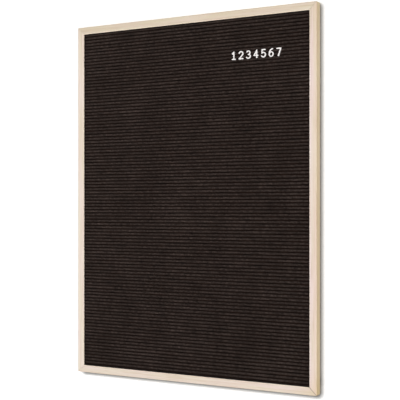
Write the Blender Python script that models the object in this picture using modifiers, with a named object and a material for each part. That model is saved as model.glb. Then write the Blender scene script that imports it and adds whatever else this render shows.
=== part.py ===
"""Felt letter board in a mitred wood frame, as it hangs on a wall.

Metres, +Z up, the front faces -Y. The origin is where the wall nail meets the
middle notch of the top sawtooth hanger, on the wall's surface. Every piece is
first placed in the board's own frame: x to the right, y back from the frame's
front face, z up from the board's middle. One empty then carries them all.
"""
import math

import bmesh
import bpy
from mathutils import Matrix, Vector
from mathutils.geometry import delaunay_2d_cdt

# Board
BOARD_WIDTH = 0.600
BOARD_HEIGHT = 0.800

# Frame rail section
FACE_WIDTH = 0.016
FRAME_DEPTH = 0.018
LIP_THICKNESS = 0.0028
RABBET_WIDTH = 0.006
FRONT_ROUND = 0.0007
BACK_ROUND = 0.0006
CORNER_ROUND = 0.0015
MITRE_GAP = 0.0002

# Gap that seated pieces keep to each other, and the play of the panels in the rabbet
SEAT_GAP = 0.0003
PANEL_PLAY = 0.0005

# Felt panel, a grooved board with felt drawn over its ribs
FELT_THICKNESS = 0.0060
GROOVE_PITCH = 0.00728
GROOVE_WIDTH = 0.0014
GROOVE_DEPTH = 0.0032
RIB_ROUND = 0.0015
FIRST_GROOVE_DROP = 0.0067
EDGE_RIB_MIN = 0.0012

# Hardboard backing
BACKING_THICKNESS = 0.0030

# Steel retaining points that hold both panels in the rabbet
POINT_LENGTH = 0.015
POINT_WIDTH = 0.008
POINT_THICKNESS = 0.0005
POINT_BITE = 0.005
POINT_END_SPACE = 0.110
SIDE_RAIL_POINT_COUNT = 3
END_RAIL_POINT_COUNT = 2

# V-nails across the mitres
V_NAIL_LEG = 0.0045
V_NAIL_THICKNESS = 0.0006
V_NAIL_DEPTH = 0.0070
V_NAIL_APEX = 0.0070

# Sawtooth hangers
HANGER_LENGTH = 0.046
HANGER_WIDTH = 0.008
HANGER_THICKNESS = 0.0008
HANGER_RAISE = 0.0015
HANGER_CORNER = 0.0018
HANGER_RAMP = 0.0020
TOOTH_PITCH = 0.0028
TOOTH_DEPTH = 0.0016
TOOTH_COUNT = 10
HANGER_HOLE_INSET = 0.0036

# Brads that fix the hangers
BRAD_HEAD_RADIUS = 0.0015
BRAD_HEAD_THICKNESS = 0.0005
BRAD_SHANK_RADIUS = 0.0006
BRAD_LENGTH = 0.0080
BRAD_TIP = 0.0015
BRAD_SIDES = 12

# Wall bumpers
BUMPER_RADIUS = 0.0040
BUMPER_EDGE = 0.0005
BUMPER_RISE = 0.032
BUMPER_SIDES = 20

# White push-in digits
DIGIT_HEIGHT = 0.0178
DIGIT_WIDTH = 0.0114
DIGIT_STROKE = 0.0025
DIGIT_THICKNESS = 0.0018
DIGIT_CHAMFER = 0.0003
DIGIT_TOP_ABOVE_GROOVE = 0.0011
TAB_THICKNESS = 0.0008
TAB_WIDTH = 0.0022
TAB_LENGTH = 0.0028
TAB_ROOT = 0.0006
# Middle of the first digit, right of the frame's left edge, and the step to the next
FIRST_DIGIT_PLACE = 0.4091
DIGIT_SPACING = 0.0176
# The upper tabs' groove, counted from 0, and how many grooves lower the other tabs are
DIGIT_GROOVE_INDEX = 9
TAB_GROOVE_COUNT = 2

ARC_STEPS = 4
CORNER_STEPS = 2
DIGIT_ARC_STEPS = 10

# Places that follow from the sizes above, in the board's own frame
OPENING_TOP = BOARD_HEIGHT / 2 - FACE_WIDTH
RABBET_WALL = FACE_WIDTH - RABBET_WIDTH
FELT_FRONT = LIP_THICKNESS + SEAT_GAP
BACKING_FRONT = FELT_FRONT + FELT_THICKNESS + SEAT_GAP
POINT_FRONT = BACKING_FRONT + BACKING_THICKNESS + SEAT_GAP
HANGER_FRONT = FRAME_DEPTH + SEAT_GAP
WALL_PLANE = HANGER_FRONT + HANGER_RAISE + HANGER_THICKNESS
WALL_MIDDLE = RABBET_WALL / 2
PANEL_WIDTH = BOARD_WIDTH - 2 * (RABBET_WALL + PANEL_PLAY)
PANEL_HEIGHT = BOARD_HEIGHT - 2 * (RABBET_WALL + PANEL_PLAY)
NOTCH_DROP = WALL_MIDDLE + HANGER_WIDTH / 2 - TOOTH_DEPTH
HANGER_HOLE_OFFSET = HANGER_LENGTH / 2 - HANGER_HOLE_INSET
TOOTH_SPAN = TOOTH_PITCH * TOOTH_COUNT

# How far a cutter runs past the face that it opens
CUT_PAST = 0.001
# Edges that turn by more than this are shaded sharp
SHARP_ANGLE = math.radians(40)

COLOURS = {
    "pale_wood": ((0.79, 0.68, 0.56), 0.55, 0.0),
    "black_felt": ((0.028, 0.020, 0.018), 0.95, 0.0),
    "white_plastic": ((0.86, 0.84, 0.82), 0.35, 0.0),
    "hardboard": ((0.25, 0.15, 0.08), 0.75, 0.0),
    "steel": ((0.55, 0.55, 0.54), 0.35, 1.0),
    "grey_rubber": ((0.12, 0.12, 0.12), 0.80, 0.0),
}

# Digits drawn as pen strokes on a unit box: x from -0.5 to 0.5, y from 0 to 1.
# A line gives its two ends; an arc gives centre, radii, start and end in degrees.
# The last entry gives where the upper and the lower tab stand, as x on the box.
GLYPHS = {
    "1": ((("line", (0.04, 0.0), (0.04, 1.0)),
           ("line", (0.04, 1.0), (-0.36, 0.76)),
           ("line", (-0.36, 0.0), (0.44, 0.0))), (0.04, 0.04)),
    "2": ((("arc", (0.0, 0.71), (0.5, 0.29), 165, -25),
           ("line", (0.453, 0.587), (-0.5, 0.0)),
           ("line", (-0.5, 0.0), (0.5, 0.0))), (0.0, -0.30)),
    "3": ((("arc", (-0.04, 0.76), (0.44, 0.24), 150, -90),
           ("arc", (-0.04, 0.26), (0.54, 0.26), 90, -150)), (-0.04, 0.26)),
    "4": ((("line", (0.2, 1.0), (-0.5, 0.3)),
           ("line", (-0.5, 0.3), (0.5, 0.3)),
           ("line", (0.2, 1.0), (0.2, 0.0))), (0.2, 0.2)),
    "5": ((("line", (-0.38, 1.0), (0.42, 1.0)),
           ("line", (-0.38, 1.0), (-0.42, 0.52)),
           ("arc", (-0.04, 0.31), (0.54, 0.31), 135, -150)), (0.0, 0.24)),
    "6": ((("arc", (0.0, 0.3), (0.5, 0.3), 0, 180),
           ("arc", (0.0, 0.3), (0.5, 0.3), 180, 360),
           ("arc", (0.38, 0.31), (0.88, 0.69), 180, 92)), (0.20, -0.25)),
    "7": ((("line", (-0.5, 1.0), (0.5, 1.0)),
           ("line", (0.5, 1.0), (-0.12, 0.0))), (0.0, -0.085)),
}


def clear_scene():
    """Empty the scene so that the board is all it holds."""
    for item in list(bpy.data.objects):
        bpy.data.objects.remove(item)
    for item in list(bpy.data.collections):
        bpy.data.collections.remove(item)


def new_collection(name):
    collection = bpy.data.collections.new(name)
    bpy.context.scene.collection.children.link(collection)
    return collection


def new_material(name):
    """Principled material with its own colour, roughness and metallic value."""
    colour, roughness, metallic = COLOURS[name]
    material = bpy.data.materials.new(name)
    material.use_nodes = True
    shader = material.node_tree.nodes["Principled BSDF"]
    shader.inputs["Base Color"].default_value = (*colour, 1.0)
    shader.inputs["Roughness"].default_value = roughness
    shader.inputs["Metallic"].default_value = metallic
    material.diffuse_color = (*colour, 1.0)
    return material


def rounded_outline(corners):
    """Closed outline through (x, y, radius) corners, with an arc at each radius."""
    outline = []
    count = len(corners)
    for index, (x, y, radius) in enumerate(corners):
        corner = Vector((x, y))
        if radius == 0:
            outline.append(corner)
            continue
        before = (Vector(corners[index - 1][:2]) - corner).normalized()
        after = (Vector(corners[(index + 1) % count][:2]) - corner).normalized()
        half = before.angle(after) / 2
        start = corner + before * (radius / math.tan(half))
        centre = corner + (before + after).normalized() * (radius / math.sin(half))
        sweep = math.pi - 2 * half
        turn = 1 if before.cross(after) < 0 else -1
        spoke = start - centre
        for step in range(ARC_STEPS + 1):
            angle = turn * sweep * step / ARC_STEPS
            outline.append(centre + Matrix.Rotation(angle, 2) @ spoke)
    return outline


def plate_mesh(name, loops, thickness):
    """Flat plate in the xy plane, its thickness half above and half below."""
    curve = bpy.data.curves.new(name, "CURVE")
    curve.dimensions = "2D"
    curve.fill_mode = "BOTH"
    curve.extrude = thickness / 2
    for loop in loops:
        spline = curve.splines.new("POLY")
        spline.points.add(len(loop) - 1)
        for point, place in zip(spline.points, loop):
            point.co = (place[0], place[1], 0, 1)
        spline.use_cyclic_u = True
    guide = bpy.data.objects.new(name, curve)
    bpy.context.scene.collection.objects.link(guide)
    depsgraph = bpy.context.evaluated_depsgraph_get()
    mesh = bpy.data.meshes.new_from_object(guide.evaluated_get(depsgraph))
    mesh.name = name
    bpy.data.objects.remove(guide)
    bpy.data.curves.remove(curve)
    shape = bmesh.new()
    shape.from_mesh(mesh)
    bmesh.ops.remove_doubles(shape, verts=shape.verts, dist=1e-6)
    bmesh.ops.recalc_face_normals(shape, faces=shape.faces)
    shape.to_mesh(mesh)
    shape.free()
    return mesh


def prism_mesh(name, outline, length):
    """One outline in the xy plane drawn out along z, half to each side."""
    shape = bmesh.new()
    verts = [shape.verts.new((x, y, -length / 2)) for x, y in outline]
    face = shape.faces.new(verts)
    grown = bmesh.ops.extrude_face_region(shape, geom=[face], use_keep_orig=True)
    moved = [part for part in grown["geom"] if isinstance(part, bmesh.types.BMVert)]
    bmesh.ops.translate(shape, verts=moved, vec=(0, 0, length))
    bmesh.ops.recalc_face_normals(shape, faces=shape.faces)
    mesh = bpy.data.meshes.new(name)
    shape.to_mesh(mesh)
    shape.free()
    return mesh


def box_mesh(name, low, high):
    """Box between two corners."""
    low, high = Vector(low), Vector(high)
    shape = bmesh.new()
    size = Matrix.Diagonal((*(high - low), 1))
    bmesh.ops.create_cube(shape, size=1, matrix=Matrix.Translation((low + high) / 2) @ size)
    mesh = bpy.data.meshes.new(name)
    shape.to_mesh(mesh)
    shape.free()
    return mesh


def joined_mesh(name, meshes):
    """One mesh that holds the shapes of several, for a cutter with more than one tooth."""
    shape = bmesh.new()
    for mesh in meshes:
        shape.from_mesh(mesh)
        bpy.data.meshes.remove(mesh)
    joined = bpy.data.meshes.new(name)
    shape.to_mesh(joined)
    shape.free()
    return joined


def turned_object(name, profile, sides, collection):
    """Solid turned about its z axis from (radius, height) points, top to bottom."""
    mesh = bpy.data.meshes.new(name)
    mesh.from_pydata([(r, 0, h) for r, h in profile],
                     [(i, i + 1) for i in range(len(profile) - 1)], [])
    item = bpy.data.objects.new(name, mesh)
    collection.objects.link(item)
    screw = item.modifiers.new("Turn", "SCREW")
    screw.steps = sides
    screw.render_steps = sides
    screw.use_merge_vertices = True
    screw.merge_threshold = 1e-5
    screw.use_smooth_shade = False
    return item


def place(item, matrix, board, material=None):
    """Put a piece in the board's frame, under the empty that carries the board."""
    item.parent = board
    item.matrix_basis = matrix
    if material:
        item.data.materials.clear()
        item.data.materials.append(material)


def add_piece(name, mesh, matrix, board, material, collection):
    mesh.shade_smooth()
    mesh.set_sharp_from_angle(angle=SHARP_ANGLE)
    item = bpy.data.objects.new(name, mesh)
    collection.objects.link(item)
    place(item, matrix, board, material)
    return item


def add_cutter(name, mesh, matrix, board, cutters):
    item = bpy.data.objects.new(name, mesh)
    cutters.objects.link(item)
    place(item, matrix, board)
    item.hide_render = True
    item.display_type = "WIRE"
    return item


def cut(item, cutter):
    """Take the cutter's shape out of the piece."""
    boolean = item.modifiers.new("Cut " + cutter.name, "BOOLEAN")
    boolean.operation = "DIFFERENCE"
    boolean.solver = "EXACT"
    boolean.object = cutter


def rail_sides():
    """Each rail's length, and the frame it is drawn in: x inward, y back, z along."""
    back = Vector((0, 1, 0))
    half_width, half_height = BOARD_WIDTH / 2, BOARD_HEIGHT / 2
    sides = {
        "top": (BOARD_WIDTH, (0, 0, half_height), (0, 0, -1)),
        "bottom": (BOARD_WIDTH, (0, 0, -half_height), (0, 0, 1)),
        "left": (BOARD_HEIGHT, (-half_width, 0, 0), (1, 0, 0)),
        "right": (BOARD_HEIGHT, (half_width, 0, 0), (-1, 0, 0)),
    }
    frames = {}
    for side, (length, middle, inward) in sides.items():
        inward = Vector(inward)
        turn = Matrix((inward, back, inward.cross(back))).transposed().to_4x4()
        frames[side] = (length, Matrix.Translation(middle) @ turn)
    return frames


def corner_frames():
    """Frames at the board's outer corners: x and z run inward along the two rails."""
    half_width, half_height = BOARD_WIDTH / 2, BOARD_HEIGHT / 2
    corners = {
        "bottom_left": (-half_width, -half_height, 0),
        "bottom_right": (half_width, -half_height, -90),
        "top_right": (half_width, half_height, 180),
        "top_left": (-half_width, half_height, 90),
    }
    return {name: Matrix.Translation((x, 0, z)) @ Matrix.Rotation(math.radians(turn), 4, "Y")
            for name, (x, z, turn) in corners.items()}


def end_planes(length, end):
    """Planes that finish a rail's end: the mitre, then half of the outer corner's rounding.

    Each is a point and the normal of the side that is cut away.
    """
    planes = [(Vector((0, 0, end * (length / 2 - MITRE_GAP / math.sqrt(2)))), Vector((1, 0, end)))]
    centre = Vector((CORNER_ROUND, 0, end * (length / 2 - CORNER_ROUND)))
    for step in range(CORNER_STEPS):
        angle = math.radians(45) * (step + 0.5) / CORNER_STEPS
        normal = Vector((-math.cos(angle), 0, end * math.sin(angle)))
        planes.append((centre + normal * CORNER_ROUND, normal))
    return planes


def rail_mesh(name, length):
    """Rabbeted rail with eased edges, cut to a mitre at both ends."""
    section = rounded_outline((
        (0, 0, FRONT_ROUND),
        (FACE_WIDTH, 0, FRONT_ROUND),
        (FACE_WIDTH, LIP_THICKNESS, 0),
        (RABBET_WALL, LIP_THICKNESS, 0),
        (RABBET_WALL, FRAME_DEPTH, BACK_ROUND),
        (0, FRAME_DEPTH, BACK_ROUND)))
    mesh = plate_mesh(name, [section], length)
    shape = bmesh.new()
    shape.from_mesh(mesh)
    for point, normal in end_planes(length, 1) + end_planes(length, -1):
        everything = shape.verts[:] + shape.edges[:] + shape.faces[:]
        sliced = bmesh.ops.bisect_plane(shape, geom=everything, plane_co=point,
                                        plane_no=normal, clear_outer=True)
        rim = [part for part in sliced["geom_cut"] if isinstance(part, bmesh.types.BMEdge)]
        bmesh.ops.holes_fill(shape, edges=rim)
    bmesh.ops.recalc_face_normals(shape, faces=shape.faces)
    shape.to_mesh(mesh)
    shape.free()
    return mesh


def point_places(side):
    """Where a rail's retaining points stand along it."""
    length, _ = rail_sides()[side]
    count = SIDE_RAIL_POINT_COUNT if side in ("left", "right") else END_RAIL_POINT_COUNT
    reach = length / 2 - POINT_END_SPACE
    return [reach * (2 * i / (count - 1) - 1) for i in range(count)]


def point_slots(side):
    """Slots in the rabbet wall that the retaining points are pushed into."""
    slots = []
    for along in point_places(side):
        low = (RABBET_WALL - POINT_BITE - SEAT_GAP, POINT_FRONT - SEAT_GAP,
               along - POINT_WIDTH / 2 - SEAT_GAP)
        high = (RABBET_WALL + CUT_PAST, POINT_FRONT + POINT_THICKNESS + SEAT_GAP,
                along + POINT_WIDTH / 2 + SEAT_GAP)
        slots.append(box_mesh("slot", low, high))
    return slots


def brad_holes():
    """Pilot holes for one hanger's two brads, in the rail's frame."""
    holes = []
    radius = BRAD_SHANK_RADIUS + SEAT_GAP
    depth = BRAD_LENGTH + SEAT_GAP
    for end in (1, -1):
        shape = bmesh.new()
        middle = FRAME_DEPTH + (CUT_PAST - depth) / 2
        matrix = (Matrix.Translation((WALL_MIDDLE, middle, end * HANGER_HOLE_OFFSET))
                  @ Matrix.Rotation(math.pi / 2, 4, "X"))
        bmesh.ops.create_cone(shape, cap_ends=True, segments=BRAD_SIDES, radius1=radius,
                              radius2=radius, depth=depth + CUT_PAST, matrix=matrix)
        mesh = bpy.data.meshes.new("hole")
        shape.to_mesh(mesh)
        shape.free()
        holes.append(mesh)
    return holes


def v_nail_mesh(name, gap, front, back):
    """Bent strip that ties a mitre: two legs at a right angle, grown by a gap all round."""
    outer = V_NAIL_APEX + V_NAIL_THICKNESS / 2 + gap
    inner = V_NAIL_APEX - V_NAIL_THICKNESS / 2 - gap
    tip = V_NAIL_APEX - V_NAIL_LEG - gap
    outline = [(tip, inner), (inner, inner), (inner, tip), (outer, tip), (outer, outer),
               (tip, outer)]
    mesh = plate_mesh(name, [outline], back - front)
    mesh.transform(Matrix.Translation((0, (front + back) / 2, 0))
                   @ Matrix.Rotation(math.pi / 2, 4, "X"))
    return mesh


def build_rails(board, wood, collection, cutters):
    """Four rails with the slots, holes and grooves that their fixings sit in."""
    rails = {}
    for side, (length, frame) in rail_sides().items():
        name = "frame_rail_" + side
        rails[side] = add_piece(name, rail_mesh(name, length), frame, board, wood, collection)
        teeth = point_slots(side)
        if side in ("top", "left"):
            teeth += brad_holes()
        cutter_name = "cut_" + side
        cut(rails[side], add_cutter(cutter_name, joined_mesh(cutter_name, teeth),
                                    frame, board, cutters))
    for corner, frame in corner_frames().items():
        cutter_name = "cut_" + corner
        front = FRAME_DEPTH - V_NAIL_DEPTH - 2 * SEAT_GAP
        mesh = v_nail_mesh(cutter_name, SEAT_GAP, front, FRAME_DEPTH + CUT_PAST)
        cutter = add_cutter(cutter_name, mesh, frame, board, cutters)
        for side in corner.split("_"):
            cut(rails[side], cutter)


def build_v_nails(board, steel, collection):
    """One V-nail across each mitre, driven in from the back."""
    for corner, frame in corner_frames().items():
        name = "v_nail_" + corner
        back = FRAME_DEPTH - SEAT_GAP
        mesh = v_nail_mesh(name, 0, back - V_NAIL_DEPTH, back)
        add_piece(name, mesh, frame, board, steel, collection)


def groove_height(index):
    """Height of a groove's middle, counted down from the first one in the opening."""
    return OPENING_TOP - FIRST_GROOVE_DROP - index * GROOVE_PITCH


def groove_indexes():
    """The grooves that the panel has room for, those behind the frame's lip among them."""
    top_room = PANEL_HEIGHT / 2 - GROOVE_WIDTH / 2 - EDGE_RIB_MIN
    first = math.ceil((groove_height(0) - top_room) / GROOVE_PITCH)
    last = math.floor((groove_height(0) + top_room) / GROOVE_PITCH)
    return range(first, last + 1)


def felt_section():
    """Panel section from the top down: rounded ribs with a narrow groove between them.

    x runs to the front from the panel's front face, y runs up.
    """
    section = [Vector((-FELT_THICKNESS, PANEL_HEIGHT / 2)), Vector((0, PANEL_HEIGHT / 2))]
    shoulder = [math.radians(90 * step / ARC_STEPS) for step in range(ARC_STEPS + 1)]
    for index in groove_indexes():
        middle = groove_height(index)
        upper, lower = middle + GROOVE_WIDTH / 2, middle - GROOVE_WIDTH / 2
        for angle in shoulder:
            section.append(Vector((RIB_ROUND * (math.cos(angle) - 1),
                                   upper + RIB_ROUND * (1 - math.sin(angle)))))
        section.append(Vector((-GROOVE_DEPTH, upper)))
        section.append(Vector((-GROOVE_DEPTH, lower)))
        for angle in reversed(shoulder):
            section.append(Vector((RIB_ROUND * (math.cos(angle) - 1),
                                   lower - RIB_ROUND * (1 - math.sin(angle)))))
    section += [Vector((0, -PANEL_HEIGHT / 2)), Vector((-FELT_THICKNESS, -PANEL_HEIGHT / 2))]
    return section


def build_panels(board, felt, hardboard, collection):
    """Grooved felt panel behind the lip, and the hardboard that backs it."""
    mesh = prism_mesh("felt_panel", felt_section(), PANEL_WIDTH)
    # The section's x turns to the front, its y turns up and its length runs across
    mesh.transform(Matrix(((0, 0, -1, 0), (-1, 0, 0, 0), (0, 1, 0, 0), (0, 0, 0, 1))))
    add_piece("felt_panel", mesh, Matrix.Translation((0, FELT_FRONT, 0)), board, felt,
              collection)
    low = (-PANEL_WIDTH / 2, BACKING_FRONT, -PANEL_HEIGHT / 2)
    high = (PANEL_WIDTH / 2, BACKING_FRONT + BACKING_THICKNESS, PANEL_HEIGHT / 2)
    add_piece("backing_board", box_mesh("backing_board", low, high), Matrix(), board,
              hardboard, collection)


def build_retaining_points(board, steel, collection):
    """Thin steel points pushed into the rabbet wall, lying over the backing board."""
    for side, (_, frame) in rail_sides().items():
        for number, along in enumerate(point_places(side), 1):
            name = "retaining_point_%s_%d" % (side, number)
            low = (RABBET_WALL - POINT_BITE, POINT_FRONT, along - POINT_WIDTH / 2)
            high = (RABBET_WALL - POINT_BITE + POINT_LENGTH,
                    POINT_FRONT + POINT_THICKNESS, along + POINT_WIDTH / 2)
            add_piece(name, box_mesh(name, low, high), frame, board, steel, collection)


def hanger_mesh(name):
    """Sawtooth strip: flat nailed ends, a raised middle and teeth on its lower edge.

    It is drawn in a rail's frame, x inward, y back and z along, from the strip's middle.
    """
    half_length, half_width = HANGER_LENGTH / 2, HANGER_WIDTH / 2
    corners = [(-half_length, half_width, HANGER_CORNER),
               (-half_length, -half_width, HANGER_CORNER),
               (half_length, -half_width, HANGER_CORNER),
               (half_length, half_width, HANGER_CORNER)]
    for tooth in range(TOOTH_COUNT):
        start = TOOTH_SPAN / 2 - tooth * TOOTH_PITCH
        corners.append((start, half_width - TOOTH_DEPTH, 0))
        corners.append((start - TOOTH_PITCH / 2, half_width, 0))
    corners.append((-TOOTH_SPAN / 2, half_width - TOOTH_DEPTH, 0))
    hole = BRAD_SHANK_RADIUS + SEAT_GAP
    loops = [rounded_outline(corners)]
    for end in (1, -1):
        loops.append([(end * HANGER_HOLE_OFFSET + hole * math.cos(2 * math.pi * i / BRAD_SIDES),
                       hole * math.sin(2 * math.pi * i / BRAD_SIDES))
                      for i in range(BRAD_SIDES)])
    mesh = plate_mesh(name, loops, HANGER_THICKNESS)
    shape = bmesh.new()
    shape.from_mesh(mesh)
    ramp_low = TOOTH_SPAN / 2 + HANGER_RAMP
    for place_along in (-ramp_low, -TOOTH_SPAN / 2, TOOTH_SPAN / 2, ramp_low):
        everything = shape.verts[:] + shape.edges[:] + shape.faces[:]
        bmesh.ops.bisect_plane(shape, geom=everything, plane_co=(place_along, 0, 0),
                               plane_no=(1, 0, 0))
    for vert in shape.verts:
        climb = (ramp_low - abs(vert.co.x)) / HANGER_RAMP
        vert.co.z += HANGER_RAISE * min(1.0, max(0.0, climb))
    shape.to_mesh(mesh)
    shape.free()
    # The strip's x turns along the rail, its y inward and its thickness back
    mesh.transform(Matrix(((0, 1, 0, 0), (0, 0, 1, 0), (1, 0, 0, 0), (0, 0, 0, 1))))
    return mesh


def build_hangers(board, steel, collection):
    """A hanger on the top rail, one on the left rail for hanging it sideways, and brads."""
    profile = ((0, BRAD_HEAD_THICKNESS), (BRAD_HEAD_RADIUS, BRAD_HEAD_THICKNESS),
               (BRAD_HEAD_RADIUS, 0), (BRAD_SHANK_RADIUS, 0),
               (BRAD_SHANK_RADIUS, BRAD_TIP - BRAD_LENGTH), (0, -BRAD_LENGTH))
    frames = rail_sides()
    for side in ("top", "left"):
        frame = frames[side][1]
        name = "hanger_" + side
        seat = Matrix.Translation((WALL_MIDDLE, HANGER_FRONT + HANGER_THICKNESS / 2, 0))
        add_piece(name, hanger_mesh(name), frame @ seat, board, steel, collection)
        for number, end in enumerate((1, -1), 1):
            brad = turned_object("brad_%s_%d" % (side, number), profile, BRAD_SIDES, collection)
            head = Matrix.Translation((WALL_MIDDLE, HANGER_FRONT + HANGER_THICKNESS + SEAT_GAP,
                                       end * HANGER_HOLE_OFFSET))
            turn = Matrix.Rotation(-math.pi / 2, 4, "X")
            place(brad, frame @ head @ turn, board, steel)


def build_bumpers(board, rubber, collection):
    """Soft pads low on the side rails, as thick as the hanger stands proud."""
    thickness = WALL_PLANE - HANGER_FRONT
    for side, across in (("left", -1), ("right", 1)):
        name = "bumper_" + side
        shape = bmesh.new()
        bmesh.ops.create_cone(shape, cap_ends=True, segments=BUMPER_SIDES,
                              radius1=BUMPER_RADIUS, radius2=BUMPER_RADIUS, depth=thickness)
        mesh = bpy.data.meshes.new(name)
        shape.to_mesh(mesh)
        shape.free()
        middle = (across * (BOARD_WIDTH / 2 - WALL_MIDDLE), HANGER_FRONT + thickness / 2,
                  BUMPER_RISE - BOARD_HEIGHT / 2)
        pad = add_piece(name, mesh, Matrix.Translation(middle)
                        @ Matrix.Rotation(-math.pi / 2, 4, "X"), board, rubber, collection)
        bevel = pad.modifiers.new("Soft edge", "BEVEL")
        bevel.width = BUMPER_EDGE
        bevel.segments = 2
        bevel.limit_method = "ANGLE"
        bevel.angle_limit = math.radians(60)


def stroke_path(stroke, box_width, box_height):
    """Middle line of one pen stroke, in metres from the glyph box's lower middle."""
    if stroke[0] == "line":
        path = [Vector(stroke[1]), Vector(stroke[2])]
    else:
        _, centre, radii, start, end = stroke
        path = []
        for step in range(DIGIT_ARC_STEPS + 1):
            angle = math.radians(start + (end - start) * step / DIGIT_ARC_STEPS)
            path.append(Vector((centre[0] + radii[0] * math.cos(angle),
                                centre[1] + radii[1] * math.sin(angle))))
    return [Vector((point.x * box_width, point.y * box_height)) for point in path]


def stroke_outline(path, width):
    """Outline of a stroke of the given width along a path, with round ends, anticlockwise."""
    def direction(index):
        before, after = path[max(index - 1, 0)], path[min(index + 1, len(path) - 1)]
        return (after - before).normalized()

    def cap(centre, spoke):
        return [centre + Matrix.Rotation(math.pi * step / (2 * ARC_STEPS), 2) @ spoke
                for step in range(1, 2 * ARC_STEPS)]

    left = []
    right = []
    for index, point in enumerate(path):
        along = direction(index)
        side = Vector((-along.y, along.x)) * (width / 2)
        left.append(point + side)
        right.append(point - side)
    return (right + cap(path[-1], right[-1] - path[-1]) + left[::-1]
            + cap(path[0], left[0] - path[0]))


def digit_mesh(name, glyph):
    """Moulded digit: its strokes made one flat shape, with a chamfer round its front.

    x to the right, y up from the digit's foot, and the front at +z.
    """
    strokes, _ = glyph
    box_width, box_height = DIGIT_WIDTH - DIGIT_STROKE, DIGIT_HEIGHT - DIGIT_STROKE
    points, rings = [], []
    for stroke in strokes:
        outline = stroke_outline(stroke_path(stroke, box_width, box_height), DIGIT_STROKE)
        rings.append(list(range(len(points), len(points) + len(outline))))
        points += [point + Vector((0, DIGIT_STROKE / 2)) for point in outline]
    flat, _, triangles, _, _, owners = delaunay_2d_cdt(points, [], rings, 0, 1e-6)
    shape = bmesh.new()
    verts = [shape.verts.new((point.x, point.y, 0)) for point in flat]
    for triangle, owner in zip(triangles, owners):
        if owner:
            shape.faces.new([verts[i] for i in triangle])
    bmesh.ops.delete(shape, geom=[v for v in shape.verts if not v.link_faces], context="VERTS")
    back = shape.faces[:]
    grown = bmesh.ops.extrude_face_region(shape, geom=back, use_keep_orig=True)
    front = [part for part in grown["geom"] if isinstance(part, bmesh.types.BMFace)]
    moved = [part for part in grown["geom"] if isinstance(part, bmesh.types.BMVert)]
    bmesh.ops.translate(shape, verts=moved, vec=(0, 0, DIGIT_THICKNESS - DIGIT_CHAMFER))
    bmesh.ops.inset_region(shape, faces=front, thickness=DIGIT_CHAMFER, depth=DIGIT_CHAMFER,
                           use_boundary=True, use_even_offset=True)
    bmesh.ops.recalc_face_normals(shape, faces=shape.faces)
    mesh = bpy.data.meshes.new(name)
    shape.to_mesh(mesh)
    shape.free()
    return mesh


def build_digits(board, plastic, collection, cutters):
    """Seven push-in digits in one row, each held by two tabs in the felt's grooves."""
    box_width = DIGIT_WIDTH - DIGIT_STROKE
    foot = groove_height(DIGIT_GROOVE_INDEX) + DIGIT_TOP_ABOVE_GROOVE - DIGIT_HEIGHT
    digit_back = FELT_FRONT - SEAT_GAP
    for number, (character, glyph) in enumerate(GLYPHS.items()):
        name = "digit_" + character
        middle = FIRST_DIGIT_PLACE + number * DIGIT_SPACING - BOARD_WIDTH / 2
        upright = Matrix.Rotation(math.pi / 2, 4, "X")
        digit = add_piece(name, digit_mesh(name, glyph),
                          Matrix.Translation((middle, digit_back, foot)) @ upright,
                          board, plastic, collection)
        tabs = []
        for step, tab_x in zip((0, TAB_GROOVE_COUNT), glyph[1]):
            x = middle + tab_x * box_width
            z = groove_height(DIGIT_GROOVE_INDEX + step)
            low = (x - TAB_WIDTH / 2, digit_back - TAB_ROOT, z - TAB_THICKNESS / 2)
            high = (x + TAB_WIDTH / 2, digit_back + TAB_LENGTH, z + TAB_THICKNESS / 2)
            tabs.append(box_mesh("tab", low, high))
        tool = add_cutter("tabs_" + character, joined_mesh("tabs_" + character, tabs),
                          Matrix(), board, cutters)
        union = digit.modifiers.new("Tabs", "BOOLEAN")
        union.operation = "UNION"
        union.solver = "EXACT"
        union.object = tool


def main():
    clear_scene()
    collection = new_collection("letter_board")
    cutters = new_collection("cutters")
    materials = {name: new_material(name) for name in COLOURS}
    board = bpy.data.objects.new("board", None)
    board.location = (0, -WALL_PLANE, NOTCH_DROP - BOARD_HEIGHT / 2)
    collection.objects.link(board)
    build_rails(board, materials["pale_wood"], collection, cutters)
    build_v_nails(board, materials["steel"], collection)
    build_panels(board, materials["black_felt"], materials["hardboard"], collection)
    build_retaining_points(board, materials["steel"], collection)
    build_hangers(board, materials["steel"], collection)
    build_bumpers(board, materials["grey_rubber"], collection)
    build_digits(board, materials["white_plastic"], collection, cutters)
    bpy.context.view_layer.update()


main()
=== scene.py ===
"""Looks of a felt letter board in a pale wood frame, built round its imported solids.

Metres, +Z up, the front faces -Y and the wall is the plane y = 0. Each operator
finishes one piece or one group of like pieces, and the panel lists them all.
"""

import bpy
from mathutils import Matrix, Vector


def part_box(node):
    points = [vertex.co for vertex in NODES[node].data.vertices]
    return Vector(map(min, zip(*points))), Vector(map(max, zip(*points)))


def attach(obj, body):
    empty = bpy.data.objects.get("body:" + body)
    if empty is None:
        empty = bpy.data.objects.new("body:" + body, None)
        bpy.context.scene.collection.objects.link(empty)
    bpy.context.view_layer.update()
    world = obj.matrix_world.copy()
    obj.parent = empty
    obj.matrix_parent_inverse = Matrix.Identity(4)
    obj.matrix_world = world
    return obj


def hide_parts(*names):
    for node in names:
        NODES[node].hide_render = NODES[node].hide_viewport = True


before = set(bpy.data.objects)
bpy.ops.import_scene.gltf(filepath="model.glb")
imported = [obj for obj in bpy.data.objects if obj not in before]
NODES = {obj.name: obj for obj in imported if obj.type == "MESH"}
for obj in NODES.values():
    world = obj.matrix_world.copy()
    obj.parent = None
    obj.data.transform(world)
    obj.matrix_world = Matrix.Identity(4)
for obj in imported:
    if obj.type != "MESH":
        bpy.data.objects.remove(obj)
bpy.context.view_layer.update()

import math
import random
from collections import namedtuple

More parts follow.
